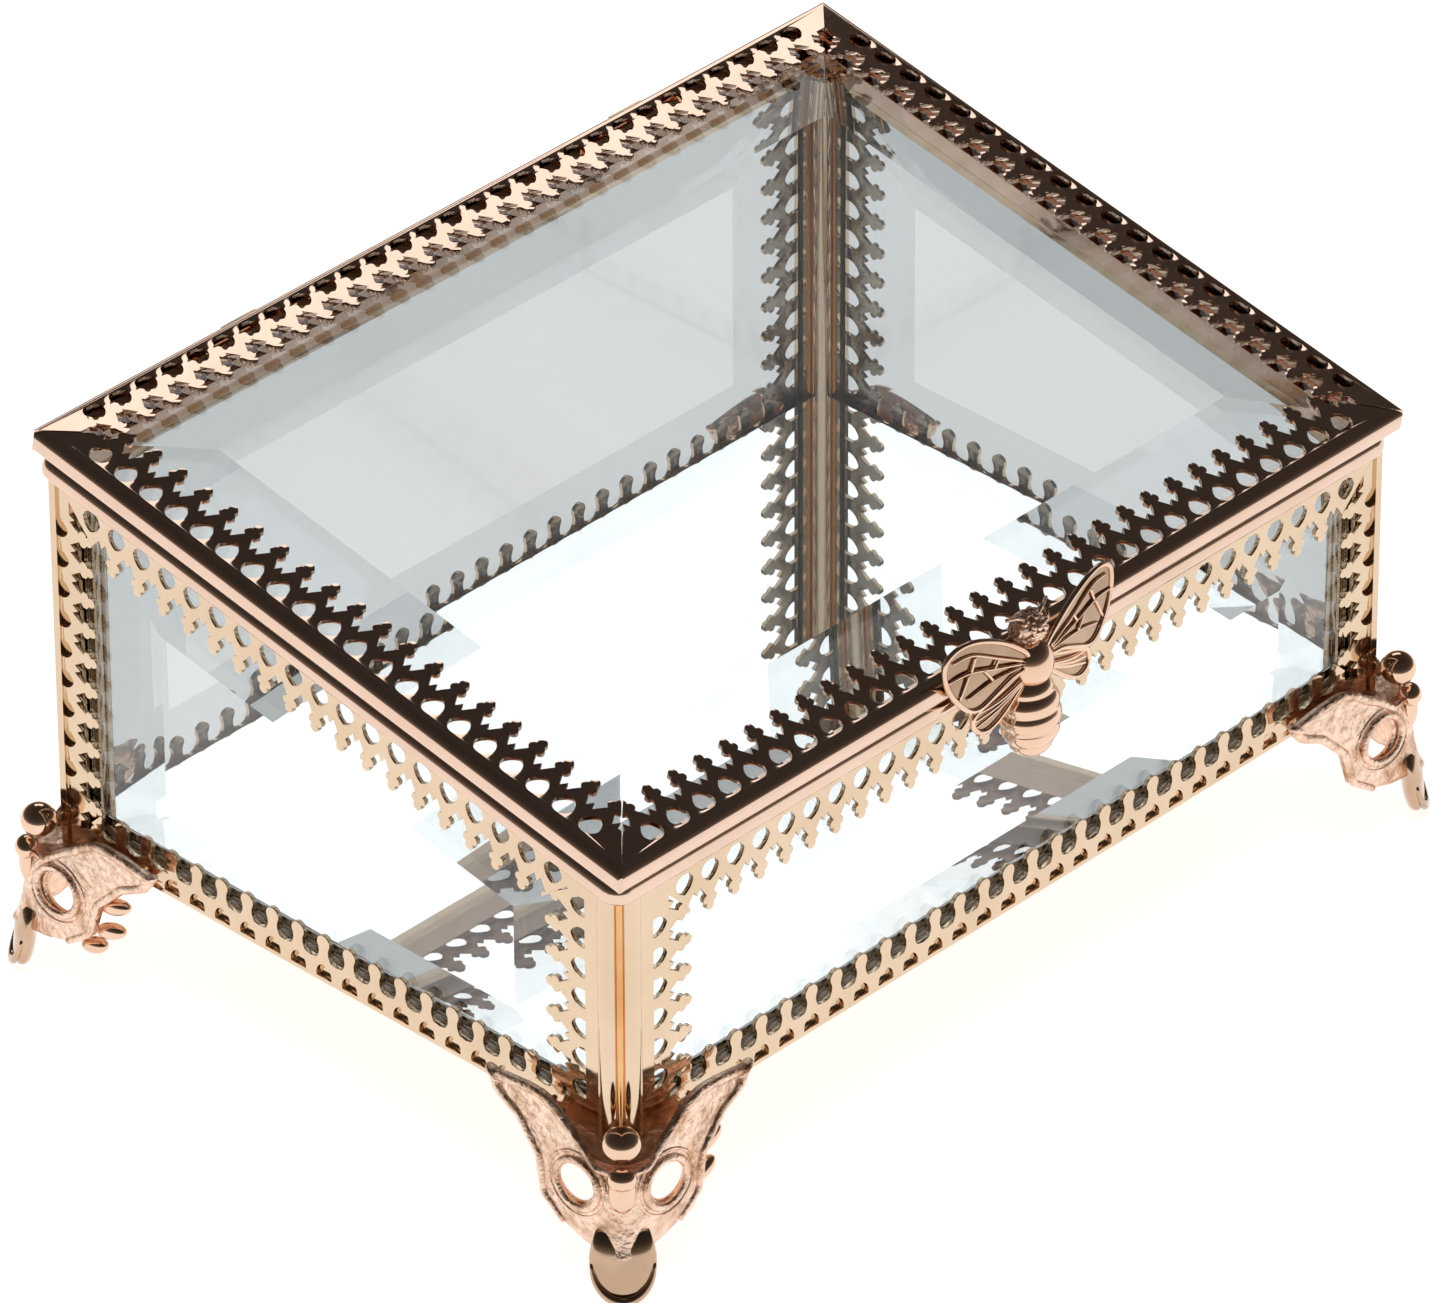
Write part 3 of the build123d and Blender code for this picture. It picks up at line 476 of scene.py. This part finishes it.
def foot_skirt():
    """Pierced leaf that wraps the box corner, with a shelf, rims, edge beads and ribs."""
    form = Form()
    add_leaf(form)
    shelf = [skirt_point(-1 + 2 * share, SHELF_Z, SHELF_IN).to_2d() for share in shares(40)]
    form.plate(shelf + [(SHELF_FAR, SHELF_NEAR), (SHELF_NEAR, SHELF_FAR)], SHELF_T, lambda x, y: SHELF_LOW)
    for side in (-1, 1):
        for scale, depth, radius in EYE_RIMS:
            form.tube([skirt_point(turn, z, depth) for turn, z in eye_loop(side, scale)],
                      radius, looped=True)
        bead = [skirt_point(side, BEAD_TOP - BEAD_DROP * share, BEAD_IN) for share in shares(30)]
        form.tube(bead, lambda share: 0.75 - 0.2 * share)
        rim = [skirt_point(side * (1 - RIM_LENGTH * share), skirt_top(1 - RIM_LENGTH * share), RIM_IN)
               for share in shares(24)]
        form.tube(rim, lambda share: 0.85 - 0.35 * share)
        for inset in RIB_INSETS:
            rib = []
            for share in shares(16):
                turn = RIB_START - RIB_LENGTH * share
                z = skirt_top(turn) * (1 - inset) - inset * RIB_SINK - RIB_DROP
                rib.append(skirt_point(side * (turn - RIB_STEP * inset), z, SKIRT_T + 0.1))
            form.tube(rib, RIB_R)
        along = Vector((1, 0.1, 0.45)) if side > 0 else Vector((0.1, 1, 0.45))
        form.lump(skirt_point(side, ARM_TIP_Z, ARM_TIP_IN),
                  (along.normalized() * 1.7, Vector((0, 0, 0.7)), along.cross((0, 0, 1)).normalized()))
    return form


def corner_lump(form, out, z, wide, deep, high, rows, around):
    """Ellipsoid on the diagonal of the corner."""
    form.lump(DIAGONAL * out + Vector((0, 0, z)), (ACROSS * wide, DIAGONAL * deep, Vector((0, 0, high))),
              rows, around)


def foot_body():
    """Smooth parts of a foot: ball, boss, the bridge below it and the scalloped lobes."""
    form = Form()
    corner_lump(form, out=3.1, z=3.3, wide=2.7, deep=2.6, high=2.4, rows=18, around=28)
    corner_lump(form, out=4.9, z=-1.2, wide=2.0, deep=1.7, high=1.7, rows=16, around=24)
    corner_lump(form, out=4.6, z=-3.6, wide=1.9, deep=1.5, high=3.4, rows=16, around=24)
    for distance, z, length in LOBES:
        form.lump((distance, -LOBE_OUT, z), (Vector((0.93, 0, 0.3)) * length, Vector((0, LOBE_DEEP, 0)),
                                             Vector((-0.2, 0, LOBE_HIGH))))
    return form


def foot_toe():
    """Spoon-shaped toe with a raised lip round its tip."""
    form = Form()
    form.skin([[DIAGONAL * (out + deep * math.cos(a)) + ACROSS * wide * math.sin(a) + Vector((0, 0, z))
                for a in circle(TOE_SIDES)] for z, out, deep, wide in TOE_RINGS])
    lip = [ACROSS * LIP_WIDE * math.cos(math.pi * share) +
           DIAGONAL * (LIP_OUT + LIP_FORWARD * math.sin(math.pi * share)) +
           Vector((0, 0, LIP_Z - LIP_DROP * math.sin(math.pi * share))) for share in shares(24)]
    form.tube(lip, lambda share: 0.25 + 0.4 * math.sin(math.pi * share))
    return form


def feet():
    """The same foot at each corner, turned a quarter further each time."""
    for quarter, (name, sx, sy) in enumerate(CORNERS):
        corner = Vector((sx * CORNER_X, sy * CORNER_Y, UNDERSIDE)) * MM
        placement = Matrix.Translation(corner) @ Matrix.Rotation(quarter * math.pi / 2, 4, "Z")
        # The toe's darker metal is painted shade
        for part, form, metal in (("skirt", foot_skirt(), CHASED_METAL), ("body", foot_body(), CAST_METAL),
                                  ("toe", foot_toe(), SHADED_TOE_METAL)):
            made = form.piece("foot_" + part + "_" + name, metal, placement)
            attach(made, "box")
            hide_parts("foot_" + name)


# ------------------------------------------------------------------ bee
# The bee lies in x and y with its head towards +y and its back towards +z.  Wing lines are
# those of the wing on +x; the other one is their mirror image.
FOREWING = [(1.6, 3.2), (3.6, 5.4), (7.0, 7.9), (10.8, 9.6), (13.8, 9.9), (16.0, 8.8), (16.6, 6.8),
            (16.0, 4.2), (14.6, 1.6), (12.6, -0.5), (10.6, -0.9), (8.0, 0.2), (5.0, 1.5), (2.4, 1.9)]
HINDWING = [(2.6, 1.2), (6.0, 0.1), (9.6, -1.2), (11.2, -2.2), (11.5, -3.6), (10.6, -4.9), (8.8, -5.2),
            (6.4, -4.0), (4.0, -2.0), (2.6, -0.6)]
VEINS = [[(2.6, 3.0), (7.4, 5.6), (12.0, 8.0), (15.2, 7.9)],
         [(2.8, 2.7), (8.0, 4.2), (12.4, 5.4), (16.0, 5.2)],
         [(3.0, 2.4), (8.4, 2.5), (13.0, 1.4)], [(7.4, 5.6), (8.2, 4.2)], [(11.4, 7.6), (12.2, 5.4)],
         [(8.4, 2.5), (10.0, 4.8)], [(12.4, 5.4), (14.2, 1.8)]]
WING_LIFTS = ((FOREWING, 0.0), (HINDWING, -0.5))
WING_T, WING_RIM_R, VEIN_R = 0.5, 0.42, 0.24
HIND_RIB_ENDS, HIND_RIB_R = (-2.2, -3.2, -4.2), 0.36
BAND_COUNT, BAND_DEPTH = 5.2, 0.15
HEAD_Y, HEAD_Z, HEAD_WIDE, HEAD_LONG, HEAD_HIGH = 6.6, -0.7, 2.6, 2.2, 2.4
HAIRS, HAIR_SEED = 150, 7
BEE_LEAN = math.radians(3.0)
BEE_PLACE = Vector((0, -57.15, 61.5))


def smooth_line(points, steps, looped=False):
    """Points on a soft curve through the given ones."""
    points = [Vector(point) for point in points]
    count = len(points)
    made = []
    for k in range(count if looped else count - 1):
        if looped:
            a, b, c, d = (points[(k + n) % count] for n in (-1, 0, 1, 2))
        else:
            a, b, c, d = (points[min(max(k + n, 0), count - 1)] for n in (-1, 0, 1, 2))
        for step in range(steps):
            t = step / steps
            made.append(0.5 * (2 * b + (c - a) * t + (2 * a - 5 * b + 4 * c - d) * t ** 2 +
                               (3 * b - a - 3 * c + d) * t ** 3))
    if not looped:
        made.append(points[-1])
    return made


def wing_height(x, y):
    """Gentle bow of the wings."""
    return 1.0 - 0.006 * x * x + 0.02 * y


def bee_wings():
    """Membranes, and the rims, veins and ribs that stand on them."""
    membranes, wires = Form(), Form()
    for side in (-1, 1):
        for outline, height in WING_LIFTS:
            edge = [(side * point.x, point.y) for point in smooth_line(outline, 5, looped=True)]
            membranes.plate(edge, WING_T, lambda x, y, h=height: wing_height(x, y) + h - WING_T)
            wires.tube([(x, y, wing_height(x, y) + height) for x, y in edge], WING_RIM_R, looped=True)
        for vein in VEINS:
            line = [(side * point.x, point.y, wing_height(point.x, point.y) + 0.1)
                    for point in smooth_line(vein, 5)]
            wires.tube(line, VEIN_R, sides=6)
        for end_y in HIND_RIB_ENDS:
            line = smooth_line([(side * 2.8, 0.3 + 0.2 * end_y, 0.6), (side * 7.0, 0.55 * end_y - 0.2, 0.35),
                                (side * 11.0, end_y, -0.5)], 8)
            wires.tube(line, HIND_RIB_R, sides=6)
    return membranes, wires


def bee_lump(form, centre, wide, high, long, rows, around, shape=None):
    """Ellipsoid whose poles lie along the bee."""
    form.lump(centre, ((wide, 0, 0), (0, 0, high), (0, long, 0)), rows, around, shape)


def banded(latitude):
    """Girth of the abdomen: round bands with narrow grooves between them."""
    along = (1 - math.cos(latitude)) / 2 * BAND_COUNT
    return 1.0 + BAND_DEPTH * (abs(math.sin(math.pi * along)) ** 0.5 - 0.6)


def bee_body():
    """Smooth thorax and banded abdomen."""
    form = Form()
    bee_lump(form, (0, 1.2, -0.6), wide=3.5, high=3.5, long=3.8, rows=22, around=32)
    bee_lump(form, (0, -6.9, -0.7), wide=4.4, high=3.9, long=6.7, rows=72, around=36, shape=banded)
    return form


def bee_head():
    """Head under a coat of small lumps, with an eye ring and a feeler on each side."""
    form = Form()
    lumpy = random.Random(HAIR_SEED)
    for _ in range(HAIRS):
        a, b = lumpy.uniform(0, math.tau), lumpy.uniform(-0.2, 1.0)
        ring = math.sqrt(max(0.0, 1 - b * b))
        spot = Vector((HEAD_WIDE * ring * math.cos(a), HEAD_Y + HEAD_LONG * ring * math.sin(a),
                       HEAD_Z + HEAD_HIGH * b))
        size = lumpy.uniform(0.28, 0.5)
        form.lump(spot, ((size, 0, 0), (0, size, 0), (0, 0, size)), 6, 8)
    bee_lump(form, (0, HEAD_Y, HEAD_Z), wide=HEAD_WIDE, high=HEAD_HIGH, long=HEAD_LONG, rows=16, around=24)
    for side in (-1, 1):
        loop = [(side * 2.7 + 0.2 * math.cos(a), 7.2 + math.cos(a), -0.4 + math.sin(a)) for a in circle(20)]
        form.tube(loop, 0.3, sides=6, looped=True)
        feeler = smooth_line([(side * 1.2, 8.2, 0.3), (side * 2.4, 9.1, 0.0), (side * 4.0, 9.2, -0.8)], 6)
        form.tube(feeler, 0.3, sides=6)
    return form


def bee():
    """Bee that stands over the lid's front edge, with its back to the front."""
    outward = Vector((0, -math.cos(BEE_LEAN), math.sin(BEE_LEAN)))
    upward = outward.cross((1, 0, 0))
    placement = Matrix.Translation(BEE_PLACE * MM) @ \
        Matrix((Vector((1, 0, 0)), upward, outward)).transposed().to_4x4()
    membranes, wires = bee_wings()
    # The membranes' darker metal is painted shade; rims and veins keep the cast metal
    for part, form, metal in (("membranes", membranes, SHADED_WING_METAL), ("wings", wires, CAST_METAL),
                              ("body", bee_body(), CAST_METAL), ("head", bee_head(), CHASED_METAL)):
        made = form.piece("bee_" + part, metal, placement)
        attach(made, "lid")
        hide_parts("bee_lift")


feet()
bee()

# ------------------------------------------------------------------ stage, lights and camera
FLOOR_HALF, FLOOR_DROP = 3.0, 0.0003
LIGHT_AIM = Vector((0, 0, 0.05))
SKY = [(0.0, (0.34, 0.29, 0.25)), (0.12, (0.17, 0.14, 0.12)), (0.28, (0.085, 0.070, 0.060)),
       (0.50, (0.052, 0.044, 0.040)), (1.0, (0.033, 0.028, 0.026))]   # by the height of a direction
PALE = (0.9, 0.9, 0.9, 1.0)
CAMERA_AIM = Vector((0, 0, 0.020))
AZIMUTH, ELEVATION, ROLL = math.radians(-46.3281), math.radians(33.5409), math.radians(-0.2064)
DISTANCE, SLIDE, LIFT = 1.7234, -0.000345, 0.01536
SENSOR_WIDTH, LENS = 36.0, 309.8


def floor():
    """Plain pale floor with a little glow of its own, so that shadows stay soft."""
    made = Shader("floor_paper")
    made.set(roughness=0.9, emission_strength=0.80, emission_color=(1.0, 1.0, 1.0, 1.0))
    cloud = made.noise(3.0, detail=2.0)
    made.feed("Base Color", made.ramp(cloud, [(0.3, (0.80, 0.80, 0.80)), (0.7, (0.82, 0.82, 0.82))]))
    mesh = bpy.data.meshes.new("floor")
    form = bmesh.new()
    bmesh.ops.create_grid(form, x_segments=1, y_segments=1, size=FLOOR_HALF)
    form.to_mesh(mesh)
    form.free()
    mesh.materials.append(made.material)
    made_floor = bpy.data.objects.new("floor", mesh)
    made_floor.location.z = -FLOOR_DROP
    bpy.context.scene.collection.objects.link(made_floor)


def area_light(name, azimuth, elevation, distance, width, height, radiance, glossy=True):
    """Soft box that faces the object; azimuth runs from +X towards +Y."""
    light = bpy.data.lights.new(name, "AREA")
    light.shape = "RECTANGLE"
    light.size, light.size_y = width, height
    light.energy = radiance * math.pi * width * height
    box = bpy.data.objects.new(name, light)
    a, e = math.radians(azimuth), math.radians(elevation)
    direction = Vector((math.cos(a) * math.cos(e), math.sin(a) * math.cos(e), math.sin(e)))
    box.location = LIGHT_AIM + direction * distance
    box.rotation_euler = direction.to_track_quat("Z", "Y").to_euler()
    box.visible_glossy = glossy
    box.visible_camera = False
    bpy.context.scene.collection.objects.link(box)


def world():
    """Dim studio for reflections; pale to the eye, straight or through glass."""
    made = bpy.data.worlds.new("studio")
    made.use_nodes = True
    bpy.context.scene.world = made
    tree = made.node_tree
    path = tree.nodes.new("ShaderNodeLightPath")
    seen = tree.nodes.new("ShaderNodeMath")
    seen.operation = "MAXIMUM"
    tree.links.new(path.outputs["Is Camera Ray"], seen.inputs[0])
    tree.links.new(path.outputs["Is Transmission Ray"], seen.inputs[1])
    place = tree.nodes.new("ShaderNodeTexCoord")
    parts = tree.nodes.new("ShaderNodeSeparateXYZ")
    tree.links.new(place.outputs["Generated"], parts.inputs["Vector"])
    height = tree.nodes.new("ShaderNodeValToRGB")
    fill_ramp(height, SKY)
    tree.links.new(parts.outputs["Z"], height.inputs["Fac"])
    mix = tree.nodes.new("ShaderNodeMix")
    mix.data_type = "RGBA"
    tree.links.new(height.outputs["Color"], mix.inputs["A"])
    mix.inputs["B"].default_value = PALE
    tree.links.new(seen.outputs[0], mix.inputs["Factor"])
    tree.links.new(mix.outputs["Result"], tree.nodes["Background"].inputs["Color"])


def camera():
    """View from the front left and above, through a long lens."""
    back = Vector((math.sin(AZIMUTH) * math.cos(ELEVATION), -math.cos(AZIMUTH) * math.cos(ELEVATION),
                   math.sin(ELEVATION)))
    level = Vector((math.cos(AZIMUTH), math.sin(AZIMUTH), 0))
    upright = back.cross(level)
    right = math.cos(ROLL) * level + math.sin(ROLL) * upright
    up = -math.sin(ROLL) * level + math.cos(ROLL) * upright
    data = bpy.data.cameras.new("camera")
    data.sensor_width, data.lens = SENSOR_WIDTH, LENS
    data.clip_start, data.clip_end = 0.05, 20.0
    made = bpy.data.objects.new("camera", data)
    made.matrix_world = Matrix.Translation(CAMERA_AIM + DISTANCE * back + SLIDE * right + LIFT * up) @ \
        Matrix((right, up, back)).transposed().to_4x4()
    bpy.context.scene.collection.objects.link(made)
    bpy.context.scene.camera = made


floor()
world()
area_light("softbox_back", azimuth=47, elevation=35.5, distance=2.5, width=1.25, height=0.72, radiance=1.42)
area_light("overhead", azimuth=200, elevation=84, distance=2.0, width=2.0, height=2.0, radiance=1.5,
           glossy=False)
camera()
bpy.context.scene.view_settings.view_transform = "Standard"
bpy.context.scene.cycles.transmission_bounces = 16
bpy.context.scene.cycles.max_bounces = 18
bpy.context.scene.cycles.glossy_bounces = 8
